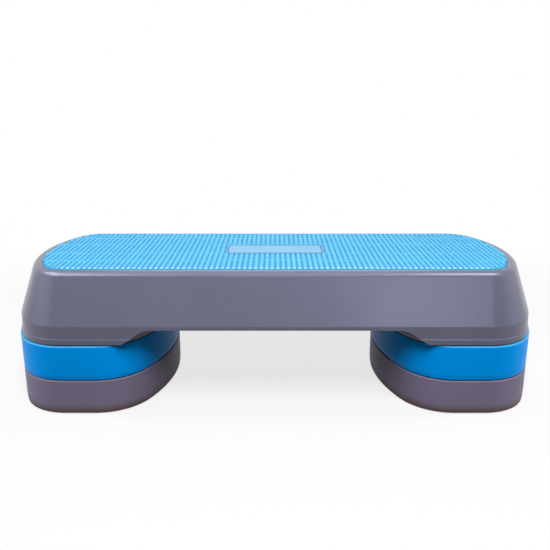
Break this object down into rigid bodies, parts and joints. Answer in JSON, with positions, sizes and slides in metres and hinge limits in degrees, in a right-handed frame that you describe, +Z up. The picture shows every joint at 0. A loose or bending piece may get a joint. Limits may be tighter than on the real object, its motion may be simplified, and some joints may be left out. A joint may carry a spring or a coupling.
{
  "type": "aerobic step platform",
  "caption": "Aerobic step with a flared moulded deck, ribbed anti-slip mat and stacked plug-in risers under both ends that set its height.",
  "frame": {"origin": "on the floor under the middle of the deck", "axes": "+X along the deck, +Y to the rear of the pictured side, +Z up"},
  "size_m": [0.7672, 0.2972, 0.2],
  "materials": {
    "deck_plastic": "satin moulded polypropylene, grey violet",
    "mat_rubber": "light blue ribbed thermoplastic rubber",
    "blue_plastic": "satin blue moulded polypropylene",
    "grey_plastic": "satin grey moulded polypropylene",
    "foot_rubber": "dark soft rubber"
  },
  "bodies": {
    "deck": {"deck_shell": "deck_plastic", "top_mat": "mat_rubber", "deck_foot_left_outer_front": "foot_rubber", "deck_foot_left_outer_rear": "foot_rubber", "deck_foot_left_inner_front": "foot_rubber", "deck_foot_left_inner_rear": "foot_rubber", "deck_foot_right_outer_front": "foot_rubber", "deck_foot_right_outer_rear": "foot_rubber", "deck_foot_right_inner_front": "foot_rubber", "deck_foot_right_inner_rear": "foot_rubber"},
    "lower_riser_left_body": {"lower_riser_left": "grey_plastic", "lower_foot_left_outer_front": "foot_rubber", "lower_foot_left_outer_rear": "foot_rubber", "lower_foot_left_inner_front": "foot_rubber", "lower_foot_left_inner_rear": "foot_rubber"},
    "lower_riser_right_body": {"lower_riser_right": "grey_plastic", "lower_foot_right_outer_front": "foot_rubber", "lower_foot_right_outer_rear": "foot_rubber", "lower_foot_right_inner_front": "foot_rubber", "lower_foot_right_inner_rear": "foot_rubber"},
    "upper_riser_left_body": {"upper_riser_left": "blue_plastic", "upper_foot_left_outer_front": "foot_rubber", "upper_foot_left_outer_rear": "foot_rubber", "upper_foot_left_inner_front": "foot_rubber", "upper_foot_left_inner_rear": "foot_rubber"},
    "upper_riser_right_body": {"upper_riser_right": "blue_plastic", "upper_foot_right_outer_front": "foot_rubber", "upper_foot_right_outer_rear": "foot_rubber", "upper_foot_right_inner_front": "foot_rubber", "upper_foot_right_inner_rear": "foot_rubber"}
  },
  "joints": [
    {"name": "upper_riser_left_lift_off", "type": "slide", "parent": "deck", "child": "upper_riser_left_body", "axis": [0, 0, -1], "range_m": [0, 0.06]},
    {"name": "lower_riser_left_lift_off", "type": "slide", "parent": "upper_riser_left_body", "child": "lower_riser_left_body", "axis": [0, 0, -1], "range_m": [0, 0.06]},
    {"name": "upper_riser_right_lift_off", "type": "slide", "parent": "deck", "child": "upper_riser_right_body", "axis": [0, 0, -1], "range_m": [0, 0.06]},
    {"name": "lower_riser_right_lift_off", "type": "slide", "parent": "upper_riser_right_body", "child": "lower_riser_right_body", "axis": [0, 0, -1], "range_m": [0, 0.06]}
  ]
}
